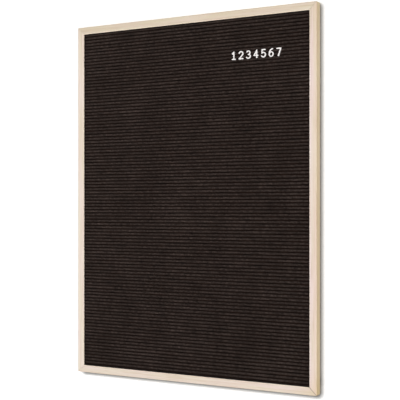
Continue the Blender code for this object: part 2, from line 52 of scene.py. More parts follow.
import bpy
import numpy as np
from bpy.props import FloatProperty, FloatVectorProperty, IntProperty, PointerProperty
from bpy.types import Operator, Panel, PropertyGroup
from mathutils import Matrix, Vector

bl_info = {
    "name": "Felt letter board",
    "version": (1, 0, 0),
    "blender": (4, 5, 0),
    "location": "View3D > Sidebar > Letter board",
    "description": "Finishes the wood, felt, digits and fixings of a letter board",
    "category": "Object",
}

# The lamps' distance, a lamp's width as a share of it, and each one's heading from the board
LAMP_DISTANCE = 14.0
LAMP_SPREAD = 0.6
LAMPS = {
    "key": (0.05, -1, 0.10),
    "fill": (1, -0.35, -0.2),
    "left": (-1, 0.3, 0.15),
    "top": (0, 0.1, 1),
    "low": (0, -0.35, -1),
    "back": (-0.1, 1, 0.35),
}
SENSOR_WIDTH = 36.0
STAGE_WIDTH = 4.0
# The wall sheet's gap behind the board, and the light that each sheet adds to look white
WALL_GAP = 0.0006
WALL_GLOW = 0.22
FLOOR_GLOW = 0.6
# Lean of the wall's contact shade, which makes it darker below the board than above it
CONTACT_TILT = (0, 0, 0.95)

BOARD_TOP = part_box("frame_rail_top")[1].z
BOARD_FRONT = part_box("frame_rail_top")[0].y
BOARD_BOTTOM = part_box("frame_rail_bottom")[0].z
BOARD_MIDDLE = Vector((0, BOARD_FRONT, (BOARD_TOP + BOARD_BOTTOM) / 2))
FACE_WIDTH = BOARD_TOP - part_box("frame_rail_top")[0].z
FELT_LOW, FELT_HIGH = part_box("felt_panel")

BOARD_HALF_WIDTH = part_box("frame_rail_right")[1].x
OPENING_HALF_WIDTH = BOARD_HALF_WIDTH - FACE_WIDTH
OPENING_HALF_HEIGHT = BOARD_TOP - FACE_WIDTH - BOARD_MIDDLE.z

# A rib's crown: the power of its curve, the points on it, and how far it sinks, as a share of
# the waver
RIB_POWER = 2.3
RIB_POINTS = 11
CROWN_SINK = 0.6
# Least height of the panel's first and last rib
EDGE_RIB_MIN = 0.0012
WAVER_SEED = 7
SHARP_ANGLE = math.radians(80)

# Nearly all of a noise's values lie in this span
NOISE_SPAN = (0.3, 0.7)
# A noise pattern: its waves for each unit of x, y and z, its start, its octaves, the strength
# of the finer ones, how far it is bent, and the span of its values that is used
Pattern = namedtuple("Pattern", "waves start detail roughness bend span",
                     defaults=((0, 0, 0), 2.0, 0.5, 0.0, NOISE_SPAN))
# The wood's patterns, in grain lengths along a rail and line spacings across it
GRAIN_TONE = Pattern((1.4, 0.16, 0.16), detail=3.0, roughness=0.55, span=(0.30, 0.72))
GRAIN_LINES = Pattern((1.0, 1.0, 1.0), (3.1, 0, 0), 3.5, 0.62, 0.25, (0.44, 0.70))
GRAIN_FIBRES = Pattern((9.0, 5.5, 5.5), roughness=0.6)
GRAIN_PORES = Pattern((14.0, 9.0, 9.0), (0, 7.7, 0), detail=1.0, span=(0.64, 0.74))
GRAIN_HUE = Pattern((1.1, 0.34, 0.34), (5.3, 2.9, 0), span=(0.32, 0.68))
# How far each of them turns the pale wood warm
TONE_WARMTH = (-0.02, 0.32)
LINE_WARMTH = 0.52
FIBRE_WARMTH = (-0.01, 0.17)
PORE_WARMTH = 0.30
# Depth of the lines and pores as shares of the grain's relief, and the pores' added roughness
LINE_DEPTH = 0.35
PORE_DEPTH = 0.65
PORE_ROUGHNESS = 0.12
GRAIN_RELIEF = 0.00006
# Step from one rail's grain to the next one's
GRAIN_STEP = Vector((1.7, 0.31, 0.53))
# Where a rail's face turns into its outer side, as the share by which it faces outward
SIDE_SPAN = (0.35, 0.9)
# The full dark core of a glue line, as a share of its width
GLUE_CORE = 0.2

# Shares of the clouds, specks and fibres in a mottle's colour and in its height
CLOUD_SHARE = 0.45
SPECK_SHARE = 0.35
FIBRE_SHARE = 0.20
SPECK_RELIEF = 0.3
FIBRE_RELIEF = 0.7
# Scale of the specks' noise as a share of the fibres', which makes them coarser
SPECK_SCALE = 0.31

# The felt's fibres lie along the ribs, and its brushed bands are much higher than wide
NAP_STRETCH = (0.45, 1.0, 1.0)
BAND_HEIGHT = 10.0
# Dashes of the painted groove shade along each lay length and each groove pitch
DASHES_PER_LAY = 2.2
# Stray of the painted shade line in each groove: its pattern, in waves for each metre, and its
# reach
GROOVE_DRIFT = Pattern((26.0, 0, 180.0), (4.1, 0, 0))
GROOVE_STRAY = 0.0004
# The darkest part of that painted shade line, as a share of the groove's width
GROOVE_CORE = 0.4
# Tone of the painted shade on the felt beside the frame's lip, and how far in it starts to lighten
LIP_SHADE_TONE = 0.35
LIP_SHADE_START = 0.0008

# Clouds for each metre in the moulding and in the plating, and the tone between the clouds
MOULDING_CLOUDS = 90.0
MOULDING_SHADE = 0.97
PLATING_CLOUDS = 320.0
PLATING_SHADE = 0.78
PAD_SHADE = 0.6
# The plating's smears are drawn out across its height
ROLLING_STRETCH = (1.0, 1.0, 3.0)

# A rail's outward direction, the tones of its inner and its outer half, the brightness of the
# painted highlight on its inner eased edge and of the painted shade or highlight on its outer
# one, and how dark its glue line is at its lower and its upper end (along X or Z)
Rail = namedtuple("Rail", "outward inner outer eased glue")
RAILS = {
    "frame_rail_top": Rail((0, 0, 1), (0.97, 1.00, 0.96), (0.95, 0.97, 0.91),
                           (1.45, 0.72), (0.04, 0.16)),
    "frame_rail_bottom": Rail((0, 0, -1), (0.98, 1.00, 0.98), (0.99, 1.00, 0.97),
                              (1.30, 1.02), (0.06, 0.70)),
    "frame_rail_left": Rail((-1, 0, 0), (1.05, 1.08, 1.06), (1.04, 1.09, 1.07),
                            (1.12, 0.74), (0.06, 0.04)),
    "frame_rail_right": Rail((1, 0, 0), (1.00, 1.01, 1.06), (1.02, 0.98, 0.90),
                             (1.20, 0.88), (0.70, 0.16)),
}
DIGITS = tuple(sorted(name for name in NODES if name.startswith("digit_")))
STEEL_PIECES = tuple(sorted(name for name in NODES
                            if name.startswith(("v_nail", "retaining_point", "hanger", "brad"))))
BUMPERS = ("bumper_left", "bumper_right")


def length(name, description, value):
    """A size that a user may change, in metres."""
    return FloatProperty(name=name, description=description, default=value, subtype="DISTANCE",
                         unit="LENGTH", precision=5)


def colour(name, description, value):
    """A colour that a user may change, as linear red, green and blue."""
    return FloatVectorProperty(name=name, description=description, default=value, size=3,
                               subtype="COLOR", min=0.0, max=1.0)


def share(name, description, value):
    """A plain factor from none to full."""
    return FloatProperty(name=name, description=description, default=value, min=0.0, max=1.0,
                         subtype="FACTOR")


def level(name, description, value):
    """A plain number that isn't below zero."""
    return FloatProperty(name=name, description=description, default=value, min=0.0)


def angle(name, description, degrees):
    """An angle that a user may change, given in degrees."""
    return FloatProperty(name=name, description=description, default=math.radians(degrees),
                         subtype="ANGLE", unit="ROTATION")


class WoodSettings(PropertyGroup):
    """Clear-finished pale hardwood of the frame"""

    pale: colour("Pale wood", "Early wood between the grain lines", (0.895, 0.79, 0.75))
    warm: colour("Warm wood", "Late wood in the grain lines", (0.73, 0.59, 0.49))
    pink: colour("Pink streaks", "Tint of the wood's pinkish streaks", (1.0, 0.94, 0.92))
    straw: colour("Straw streaks", "Tint of the wood's yellowish streaks", (0.985, 0.968, 0.880))
    # Tint of the outer sides: painted warm bounce light and shade, partly the sides' own warmer
    # tone
    side: colour("Side tone", "Tint of the rails' outer sides", (1.0, 0.93, 0.66))
    # Darker, warmer tint towards the board's top, and how far down from the top it fades
    top_tint: colour("Aged tone", "Tint of the wood at the board's top", (0.93, 0.92, 0.87))
    top_tint_reach: length("Aged reach", "How far down from the top the aged tone fades", 0.12)
    warm_end: colour("Warm end", "Tint of the wood at the lower right corner", (0.94, 0.91, 0.81))
    warm_reach: length("Warm reach", "How far from that corner the warm tone fades", 0.07)
    line_spacing: length("Line spacing", "Spacing of the grain lines across a rail", 0.0024)
    grain_length: length("Grain length", "Length over which a grain line wanders", 0.12)
    roughness: share("Roughness", "Roughness of the clear finish", 0.52)
    glue: colour("Glue", "Colour of the glue line at a mitre", (0.30, 0.22, 0.15))
    glue_width: length("Glue line", "Width of the glue line at a mitre", 0.0012)
    # Width of the painted highlight and shade along the eased edges of a rail's face
    edge_light_width: length("Eased edge", "Width of the sanded edges of a rail's face", 0.0018)


class FeltSettings(PropertyGroup):
    """Dark felt drawn over the ribs of the grooved board"""

    pitch: length("Groove pitch", "Height from one groove to the next", 0.00728)
    groove_width: length("Groove width", "Width of a groove between its ribs", 0.0014)
    groove_depth: length("Groove depth", "Depth of a groove below the ribs", 0.0032)
    rib_round: length("Rib rounding", "How far a rib falls away at its shoulders", 0.0016)
    first_drop: length("First groove", "First groove's drop below the opening's top edge", 0.0067)
    waver: length("Waver", "How far a rib's edge strays along its length", 0.00008)
    # Reach of the painted shade around each groove's middle
    groove_shade_reach: length("Tucked felt", "How far from a groove's middle the felt stays dark", 0.0026)
    # Width of the painted shade on the felt beside the frame's lip
    lip_shade_band: length("Edge band", "Width of the pressed, darker felt along the frame", 0.0045)
    streak: length("Streak length", "Length of the fine uneven streaks of nap", 0.008)
    streak_height: length("Streak height", "Height of those streaks", 0.0026)
    streak_swing: share("Streak swing", "How far the streaks lighten and darken the nap", 0.66)
    lay: length("Lay length", "Length over which a rib's nap keeps one lay", 0.060)
    lay_swing: share("Lay swing", "How far the lay lightens and darkens the nap", 0.22)
    tuft: length("Tuft size", "Size of the nap's small tufts", 0.0026)
    tuft_swing: share("Tuft swing", "How far the tufts lighten and darken the nap", 0.48)
    band: length("Brushed band", "Width of the broad upright bands that brushing left", 0.055)
    band_swing: share("Band swing", "How far the bands lighten and darken the nap", 0.12)
    # How far the painted groove shade breaks into dashes
    dash_swing: share("Dash swing", "How far the tucked felt breaks into dashes", 0.70)
    lit: level("Lit end", "Brightness of the nap at the left end, where 1 is even", 1.10)
    lit_reach: length("Lit reach", "How far from the left end the nap is brighter", 0.12)
    crown: colour("Felt", "Colour of the felt on the ribs", (0.0452, 0.0334, 0.0290))
    shade: colour("Felt shade", "Colour of the felt where the nap lies the other way",
                  (0.0250, 0.0178, 0.0150))
    # Painted shade colour of the felt in the grooves
    groove_shade: colour("Tucked shade", "Colour of the felt in the grooves", (0.0116, 0.0056, 0.0038))
    stations: IntProperty(name="Stations", description="Steps along a rib", default=64, min=8)


class DigitSettings(PropertyGroup):
    """White moulded push-in digits"""

    white: colour("White", "Colour of the moulding", (0.99, 0.945, 0.925))
    roughness: share("Roughness", "Satin surface of the moulding", 0.38)


class BackSettings(PropertyGroup):
    """Hardboard, steel fixings and pads on the hidden back"""

    board: colour("Hardboard", "Smooth face of the hardboard", (0.245, 0.148, 0.084))
    board_shade: colour("Hardboard shade", "Darker fibres in the hardboard", (0.165, 0.094, 0.050))
    zinc: colour("Zinc", "Plated steel of the fixings", (0.45, 0.45, 0.44))
    pad: colour("Pad", "Soft grey pads", (0.10, 0.10, 0.10))


class StageSettings(PropertyGroup):
    """Camera, lamps, wall and floor"""

    camera_distance: length("Camera distance", "From the camera to the front's middle", 2.1163)
    camera_azimuth: angle("Camera azimuth", "Turn of the camera's place round the board, "
                          "to the right", 30.483)
    camera_yaw: angle("Camera yaw", "Turn of the level view to the left", 29.833)
    camera_drop: length("Camera drop", "Camera's height below the board's middle", 0.0193)
    lens: level("Lens", "Focal length in millimetres on a 36 mm frame", 87.448)
    shift: level("Shift", "Upward shift as a share of the frame", 0.02017)
    key_level: level("Key", "Front lamp's level, where 1 shows a colour as it is written", 0.683)
    fill_level: level("Fill", "Level of the low lamp at the right", 0.475)
    left_level: level("Left", "Level of the lamp at the left", 0.33)
    top_level: level("Top", "Level of the lamp above the board", 0.30)
    low_level: level("Low", "Level of the lamp below the board", 0.30)
    back_level: level("Back", "Level of the lamp behind the board", 0.70)
    ambient: level("Ambient", "Strength of the world's even light", 0.10)
    floor_drop: length("Floor drop", "Floor's depth below the board", 0.9)
    contact_reach: length("Contact reach", "How far the wall darkens beside the board", 0.0135)
    contact_power: level("Contact power", "How fast the wall darkens towards the board", 3.0)


SETTINGS = {
    "board_wood": WoodSettings,
    "board_felt": FeltSettings,
    "board_digits": DigitSettings,
    "board_back": BackSettings,
    "board_stage": StageSettings,
}


class Graph:
    """Adds shader nodes to a tree and joins them, with sockets or plain values as inputs."""

    def __init__(self, tree):
        self.tree = tree

    def add(self, kind, inputs=None, **values):
        """New node with its settings and its inputs."""
        node = self.tree.nodes.new(kind)
        for name, value in values.items():
            setattr(node, name, value)
        self.fill(node, inputs or {})
        return node

    def fill(self, node, inputs):
        """Gives a node's inputs their sockets or values."""
        for name, value in inputs.items():
            self.feed(node.inputs[name], value)

    def feed(self, socket, value):
        """Links a socket to another one, or sets its plain value."""
        if isinstance(value, bpy.types.NodeSocket):
            self.tree.links.new(value, socket)
        elif hasattr(value, "__len__") and socket.type == "RGBA" and len(value) == 3:
            socket.default_value = (*value, 1.0)
        else:
            socket.default_value = value

    def maths(self, operation, first, second=0.0, clamp=False):
        node = self.add("ShaderNodeMath", {0: first, 1: second}, operation=operation,
                        use_clamp=clamp)
        return node.outputs[0]

    def total(self, first, *others, clamp=False):
        """Sum of all the values, held between 0 and 1 where clamp is set."""
        for number, value in enumerate(others, 1):
            first = self.maths("ADD", first, value, clamp and number == len(others))
        return first

    def times(self, first, *others):
        """Product of all the values."""
        for value in others:
            first = self.maths("MULTIPLY", first, value)
        return first

    def stretch(self, vector, scale, offset=(0, 0, 0)):
        node = self.add("ShaderNodeMapping", {"Vector": vector, "Scale": scale,
                                              "Location": offset})
        return node.outputs[0]

    def noise(self, vector, scale, detail=2.0, roughness=0.5, bend=0.0):
        node = self.add("ShaderNodeTexNoise", {"Vector": vector, "Scale": scale,
                                               "Detail": detail, "Roughness": roughness,
                                               "Distortion": bend})
        return node.outputs["Fac"]

    def remap(self, value, low, high, to_low=0.0, to_high=1.0, smooth=False):
        """A value spread from one span over another, and held inside it."""
        kind = "SMOOTHSTEP" if smooth else "LINEAR"
        node = self.add("ShaderNodeMapRange", {"Value": value, "From Min": low,
                                               "From Max": high, "To Min": to_low,
                                               "To Max": to_high}, interpolation_type=kind)
        return node.outputs[0]

    def mask(self, vector, pattern, to_low=0.0, to_high=1.0, smooth=False):
        """A noise pattern's values, spread from its span over another."""
        place = self.stretch(vector, pattern.waves, pattern.start)
        noise = self.noise(place, 1.0, pattern.detail, pattern.roughness, pattern.bend)
        return self.remap(noise, *pattern.span, to_low, to_high, smooth)

    def blend(self, factor, first, second, how="MIX"):
        node = self.add("ShaderNodeMix", data_type="RGBA", blend_type=how)
        self.feed(node.inputs[0], factor)
        self.feed(node.inputs[6], first)
        self.feed(node.inputs[7], second)
        return node.outputs[2]

    def tinted(self, base, tint, factor=1.0):
        """A colour multiplied by a tint, as far as the factor says."""
        return self.blend(factor, base, tint, "MULTIPLY")

    def shaded(self, base, value):
        """A colour multiplied by a plain value."""
        return self.tinted(base, self.grey(value))

    def grey(self, value):
        node = self.add("ShaderNodeCombineColor", {"Red": value, "Green": value,
                                                   "Blue": value})
        return node.outputs[0]

    def parts(self, vector):
        return self.add("ShaderNodeSeparateXYZ", {"Vector": vector}).outputs

    def bump(self, height, distance, strength):
        node = self.add("ShaderNodeBump", {"Height": height, "Distance": distance,
                                           "Strength": strength})
        return node.outputs[0]


def new_group(name, inputs, outputs):
    """Empty shader node group; returns its graph, the sockets that it is given and puts out."""
    tree = bpy.data.node_groups.new(name, "ShaderNodeTree")
    for label, kind, value in inputs:
        socket = tree.interface.new_socket(name=label, in_out="INPUT", socket_type=kind)
        if value is not None:
            socket.default_value = value
    for label, kind in outputs:
        tree.interface.new_socket(name=label, in_out="OUTPUT", socket_type=kind)
    source = tree.nodes.new("NodeGroupInput")
    sink = tree.nodes.new("NodeGroupOutput")
    return Graph(tree), source.outputs, sink.inputs


def group(name, build):
    """The named group, built the first time that a material asks for it."""
    return bpy.data.node_groups.get(name) or build(name)


def build_frame_distance(name):
    """How far a point lies inside the opening's edge, and how far off a mitre's line."""
    graph, given, out = new_group(name, (
        ("Vector", "NodeSocketVector", None),
        ("Half Width", "NodeSocketFloat", 0.28),
        ("Half Height", "NodeSocketFloat", 0.38),
        ("Middle Height", "NodeSocketFloat", 0.0)),
        (("Inside", "NodeSocketFloat"), ("Off Mitre", "NodeSocketFloat")))
    x, _, z = graph.parts(given["Vector"])
    from_side = graph.maths("SUBTRACT", given["Half Width"], graph.maths("ABSOLUTE", x))
    rise = graph.maths("ABSOLUTE", graph.maths("SUBTRACT", z, given["Middle Height"]))
    from_end = graph.maths("SUBTRACT", given["Half Height"], rise)
    graph.feed(out["Inside"], graph.maths("MINIMUM", from_side, from_end))
    apart = graph.maths("ABSOLUTE", graph.maths("SUBTRACT", from_side, from_end))
    graph.feed(out["Off Mitre"], graph.times(apart, math.sqrt(0.5)))
    return graph.tree


def build_wood_grain(name):
    """Straight grain along x: tone, fine lines and short pores of a pale hardwood."""
    graph, given, out = new_group(name, (
        ("Vector", "NodeSocketVector", None),
        ("Line Spacing", "NodeSocketFloat", 0.0024),
        ("Grain Length", "NodeSocketFloat", 0.12),
        ("Pale", "NodeSocketColor", (1, 1, 1, 1)),
        ("Warm", "NodeSocketColor", (0, 0, 0, 1)),
        ("Pink", "NodeSocketColor", (1, 1, 1, 1)),
        ("Straw", "NodeSocketColor", (1, 1, 1, 1))),
        (("Color", "NodeSocketColor"), ("Lines", "NodeSocketFloat"),
         ("Pores", "NodeSocketFloat")))
    along, across, deep = graph.parts(given["Vector"])
    lay = graph.add("ShaderNodeCombineXYZ", {
        "X": graph.maths("DIVIDE", along, given["Grain Length"]),
        "Y": graph.maths("DIVIDE", across, given["Line Spacing"]),
        "Z": graph.maths("DIVIDE", deep, given["Line Spacing"])}).outputs[0]
    tone = graph.mask(lay, GRAIN_TONE, *TONE_WARMTH)
    lines = graph.mask(lay, GRAIN_LINES, smooth=True)
    fibres = graph.mask(lay, GRAIN_FIBRES, *FIBRE_WARMTH)
    pores = graph.mask(lay, GRAIN_PORES, smooth=True)
    warmth = graph.total(tone, graph.times(lines, LINE_WARMTH), fibres,
                         graph.times(pores, PORE_WARMTH), clamp=True)
    hue = graph.mask(lay, GRAIN_HUE, smooth=True)
    wood = graph.blend(warmth, given["Pale"], given["Warm"])
    tint = graph.blend(hue, given["Pink"], given["Straw"])
    graph.feed(out["Color"], graph.tinted(wood, tint))
    graph.feed(out["Lines"], lines)
    graph.feed(out["Pores"], pores)
    return graph.tree


def build_fibre_mottle(name):
    """Cloudy two-tone fibres with a fine matted height, for felt, hardboard and pads."""
    graph, given, out = new_group(name, (
        ("Vector", "NodeSocketVector", None),
        ("Cloud Size", "NodeSocketFloat", 0.02),
        ("Fibre Size", "NodeSocketFloat", 0.0006),
        ("Light", "NodeSocketColor", (1, 1, 1, 1)),
        ("Dark", "NodeSocketColor", (0, 0, 0, 1))),
        (("Color", "NodeSocketColor"), ("Height", "NodeSocketFloat")))
    place = given["Vector"]
    cloud_scale = graph.maths("DIVIDE", 1.0, given["Cloud Size"])
    fibre_scale = graph.maths("DIVIDE", 1.0, given["Fibre Size"])
    speck_scale = graph.times(fibre_scale, SPECK_SCALE)
    clouds = graph.noise(place, cloud_scale, detail=3.0, roughness=0.6)
    specks = graph.noise(place, speck_scale, roughness=0.6)
    fibres = graph.noise(place, fibre_scale, roughness=0.65, bend=0.6)
    light = graph.total(graph.remap(clouds, *NOISE_SPAN, 0.0, CLOUD_SHARE),
                        graph.remap(specks, *NOISE_SPAN, 0.0, SPECK_SHARE),
                        graph.remap(fibres, *NOISE_SPAN, 0.0, FIBRE_SHARE), clamp=True)
    graph.feed(out["Color"], graph.blend(light, given["Dark"], given["Light"]))
    graph.feed(out["Height"], graph.total(graph.times(fibres, FIBRE_RELIEF),
                                          graph.times(specks, SPECK_RELIEF)))
    return graph.tree


def build_handling_marks(name):
    """Faint uneven smears that change how a smooth surface shines."""
    graph, given, out = new_group(name, (
        ("Vector", "NodeSocketVector", None),
        ("Size", "NodeSocketFloat", 0.01),
        ("Roughness", "NodeSocketFloat", 0.4),
        ("Spread", "NodeSocketFloat", 0.1)),
        (("Roughness", "NodeSocketFloat"), ("Height", "NodeSocketFloat")))
    scale = graph.maths("DIVIDE", 1.0, given["Size"])
    smears = graph.noise(given["Vector"], scale, detail=4.0, roughness=0.6, bend=0.4)
    either_way = graph.times(graph.maths("SUBTRACT", smears, 0.5), 2.0)
    change = graph.times(either_way, given["Spread"])
    graph.feed(out["Roughness"], graph.total(given["Roughness"], change))
    graph.feed(out["Height"], smears)
    return graph.tree


def new_material(name):
    """Material with a Principled shader; returns it, its graph, the shader and object space."""
    material = bpy.data.materials.new(name)
    material.use_nodes = True
    graph = Graph(material.node_tree)
    shader = material.node_tree.nodes["Principled BSDF"]
    place = graph.add("ShaderNodeTexCoord").outputs["Object"]
    return material, graph, shader, place


def use_group(graph, name, build, inputs):
    """Places a shared group in a material with its own values; returns its outputs."""
    node = graph.add("ShaderNodeGroup", node_tree=group(name, build))
    graph.fill(node, inputs)
    return node.outputs


def frame_distance(graph, place):
    """Distances from the opening's edge and from the mitres, as the shared group gives them."""
    return use_group(graph, "frame_distance", build_frame_distance, {
        "Vector": place, "Half Width": OPENING_HALF_WIDTH, "Half Height": OPENING_HALF_HEIGHT,
        "Middle Height": BOARD_MIDDLE.z})


def darker(plain, factor):
    """A plain colour times a factor."""
    return [value * factor for value in plain]


def is_upright(rail):
    """Whether a rail runs up the board's side."""
    return rail.outward[0] != 0


def outer_side(graph, rail):
    """Mask of a rail's outer side."""
    normal = graph.add("ShaderNodeNewGeometry").outputs["Normal"]
    outward = graph.add("ShaderNodeVectorMath", {0: normal, 1: rail.outward},
                        operation="DOT_PRODUCT").outputs["Value"]
    return graph.remap(outward, *SIDE_SPAN, smooth=True)


def rail_tint(graph, place, rail, settings, inside, side):
    """Tint of a rail's two halves and its side (the side's tint partly painted warm bounce light
    and shade), darker and warmer towards the board's top and warm at one corner.
    """
    across = graph.remap(inside, -FACE_WIDTH, 0.0)
    # The outer sides take the side tint: painted warm bounce light and shade, partly their own
    # warmer tone
    tint = graph.blend(side, graph.blend(across, rail.outer, rail.inner), settings.side)
    x, _, z = graph.parts(place)
    # Darker and warmer towards the board's top
    high = graph.remap(z, BOARD_TOP - settings.top_tint_reach, BOARD_TOP, smooth=True)
    tint = graph.tinted(tint, settings.top_tint, high)
    corner = BOARD_HALF_WIDTH - BOARD_BOTTOM
    low = graph.remap(graph.maths("SUBTRACT", x, z), corner - settings.warm_reach, corner,
                      smooth=True)
    return graph.tinted(tint, settings.warm_end, low)


def painted_edge_light(graph, rail, settings, inside, side):
    """Painted highlight on the inner sanded edge of a rail's face and painted shade or highlight
    on the outer one, as a grey; white everywhere else.
    """
    inner_light, outer_light = rail.eased
    inner = graph.remap(inside, -settings.edge_light_width, 0.0, 1.0, inner_light, smooth=True)
    outer = graph.remap(inside, -FACE_WIDTH, settings.edge_light_width - FACE_WIDTH, outer_light, 1.0,
                        smooth=True)
    return graph.blend(side, graph.grey(graph.times(inner, outer)), (1, 1, 1))


def glue_line(graph, place, rail, settings, off_mitre):
    """Mask of the glue lines at a rail's two ends, each as dark as the rail gives."""
    x, _, z = graph.parts(place)
    along = graph.maths("SUBTRACT", z, BOARD_MIDDLE.z) if is_upright(rail) else x
    dark = graph.remap(graph.maths("GREATER_THAN", along, 0.0), 0.0, 1.0, *rail.glue)
    near = graph.remap(off_mitre, GLUE_CORE * settings.glue_width, settings.glue_width, 1.0,
                       0.0, smooth=True)
    return graph.times(dark, near)


def wood_material(name, rail, number, settings):
    """Pale hardwood with its grain along the rail, eased edges and a glue line at each mitre."""
    material, graph, shader, place = new_material(name)
    turn = (0, math.pi / 2, 0) if is_upright(rail) else (0, 0, 0)
    turned = graph.add("ShaderNodeMapping", {"Vector": place, "Rotation": turn,
                                             "Location": GRAIN_STEP * number}).outputs[0]
    grain = use_group(graph, "wood_grain", build_wood_grain, {
        "Vector": turned, "Line Spacing": settings.line_spacing,
        "Grain Length": settings.grain_length, "Pale": settings.pale, "Warm": settings.warm,
        "Pink": settings.pink, "Straw": settings.straw})
    marks = use_group(graph, "handling_marks", build_handling_marks, {
        "Vector": turned, "Size": 0.03, "Roughness": settings.roughness, "Spread": 0.08})
    edge = frame_distance(graph, place)
    side = outer_side(graph, rail)
    tint = rail_tint(graph, place, rail, settings, edge["Inside"], side)
    wood = graph.tinted(grain["Color"], tint)
    # Painted highlight on the inner eased edge and painted shade or highlight on the outer one
    wood = graph.tinted(wood, painted_edge_light(graph, rail, settings, edge["Inside"], side))
    glued = glue_line(graph, place, rail, settings, edge["Off Mitre"])
    relief = graph.total(graph.times(grain["Lines"], -LINE_DEPTH),
                         graph.times(grain["Pores"], -PORE_DEPTH))
    graph.fill(shader, {
        "Base Color": graph.blend(glued, wood, settings.glue),
        "Roughness": graph.total(marks["Roughness"],
                                 graph.times(grain["Pores"], PORE_ROUGHNESS)),
        "Normal": graph.bump(relief, distance=GRAIN_RELIEF, strength=0.8),
        "Specular IOR Level": 0.35})
    return material


def nap_patches(graph, place, settings):
    """Factor by which the nap is lighter or darker: streaks, one lay on a rib, tufts, bands."""
    streaks = Pattern((1 / settings.streak, 0, 1 / settings.streak_height), detail=3.0,
                      roughness=0.6, span=(0.28, 0.72))
    lay = Pattern((1 / settings.lay, 0, 1 / settings.pitch), (7.3, 0, 0))
    tufts = Pattern((1 / settings.tuft, 1 / settings.tuft, 1 / settings.tuft), roughness=0.6)
    bands = Pattern((1 / settings.band, 0, 1 / settings.band / BAND_HEIGHT), detail=1.0)
    swings = ((streaks, settings.streak_swing), (lay, settings.lay_swing),
              (tufts, settings.tuft_swing), (bands, settings.band_swing))
    return graph.times(*(graph.mask(place, pattern, 1 - swing, 1 + swing)
                         for pattern, swing in swings))


def first_groove(settings):
    """Height of the first groove's middle."""
    return BOARD_TOP - FACE_WIDTH - settings.first_drop


def groove_distance(graph, place, settings):
    """Height from the nearest groove's middle, which strays a little in the felt."""
    _, _, z = graph.parts(place)
    strayed = graph.total(z, graph.mask(place, GROOVE_DRIFT, -GROOVE_STRAY, 0.0))
    drop = graph.maths("SUBTRACT", first_groove(settings), strayed)
    turns = graph.maths("DIVIDE", drop, settings.pitch)
    part = graph.maths("FRACT", graph.total(turns, 0.5))
    off_middle = graph.maths("ABSOLUTE", graph.maths("SUBTRACT", part, 0.5))
    return graph.times(off_middle, settings.pitch)


def painted_groove_shade(graph, place, settings):
    """Painted shade of the felt in a groove, as a colour broken into uneven dashes."""
    dashes = Pattern((DASHES_PER_LAY / settings.lay, 0, DASHES_PER_LAY / settings.pitch),
                     (6.38, 0, 11.22))
    swing = settings.dash_swing
    return graph.shaded(settings.groove_shade, graph.mask(place, dashes, 1 - swing, 1 + swing))


def felt_material(settings):
    """Dark brown-black felt: matted, uneven nap, with painted shade in the grooves and beside the
    frame's lip.
    """
    material, graph, shader, place = new_material("black_felt")
    nap = use_group(graph, "fibre_mottle", build_fibre_mottle, {
        "Vector": graph.stretch(place, NAP_STRETCH), "Cloud Size": 0.05,
        "Fibre Size": 0.0007, "Light": settings.crown, "Dark": settings.shade})
    x = graph.parts(place)[0]
    lit = graph.remap(x, FELT_LOW.x, FELT_LOW.x + settings.lit_reach, settings.lit, 1.0,
                      smooth=True)
    felt = graph.shaded(nap["Color"], nap_patches(graph, place, settings))
    felt = graph.shaded(felt, lit)
    # Painted shade: the felt turns to the groove shade towards each groove's middle
    away = groove_distance(graph, place, settings)
    unshaded_share = graph.remap(away, settings.groove_width * GROOVE_CORE, settings.groove_shade_reach,
                           smooth=True)
    felt = graph.blend(unshaded_share, painted_groove_shade(graph, place, settings), felt)
    # Painted shade on the felt beside the frame's lip, lightening towards the middle
    inside = frame_distance(graph, place)["Inside"]
    lip_shade = graph.remap(inside, LIP_SHADE_START, settings.lip_shade_band, LIP_SHADE_TONE, 1.0, smooth=True)
    graph.fill(shader, {
        "Base Color": graph.shaded(felt, lip_shade),
        "Roughness": 0.95,
        "Specular IOR Level": 0.03,
        "Sheen Weight": 0.02,
        "Sheen Roughness": 0.6,
        "Sheen Tint": (0.9, 0.82, 0.78),
        "Normal": graph.bump(nap["Height"], distance=0.0003, strength=0.6)})
    return material


def plastic_material(settings):
    """White satin moulding with faint sink marks."""
    material, graph, shader, place = new_material("white_plastic")
    marks = use_group(graph, "handling_marks", build_handling_marks, {
        "Vector": place, "Size": 0.006, "Roughness": settings.roughness, "Spread": 0.1})
    clouds = graph.noise(place, MOULDING_CLOUDS)
    shadow = darker(settings.white, MOULDING_SHADE)
    graph.fill(shader, {
        "Base Color": graph.blend(clouds, shadow, settings.white),
        "Roughness": marks["Roughness"],
        "Normal": graph.bump(marks["Height"], distance=0.00015, strength=0.25)})
    return material


def hardboard_material(settings):
    """Smooth brown hardboard with matted wood fibres."""
    material, graph, shader, place = new_material("hardboard")
    fibres = use_group(graph, "fibre_mottle", build_fibre_mottle, {
        "Vector": place, "Cloud Size": 0.014, "Fibre Size": 0.0015,
        "Light": settings.board, "Dark": settings.board_shade})
    graph.fill(shader, {
        "Base Color": fibres["Color"],
        "Roughness": graph.remap(fibres["Height"], *NOISE_SPAN, 0.6, 0.78),
        "Normal": graph.bump(fibres["Height"], distance=0.00025, strength=0.5)})
    return material


def steel_material(settings):
    """Zinc-plated strip with fine rolling lines and cloudy plating."""
    material, graph, shader, place = new_material("zinc_steel")
    marks = use_group(graph, "handling_marks", build_handling_marks, {
        "Vector": graph.stretch(place, ROLLING_STRETCH), "Size": 0.004, "Roughness": 0.33,
        "Spread": 0.14})
    clouds = graph.noise(place, PLATING_CLOUDS, detail=3.0, roughness=0.6)
    dull = darker(settings.zinc, PLATING_SHADE)
    graph.fill(shader, {
        "Base Color": graph.blend(clouds, dull, settings.zinc),
        "Roughness": marks["Roughness"],
        "Metallic": 1.0,
        "Normal": graph.bump(marks["Height"], distance=0.0001, strength=0.3)})
    return material


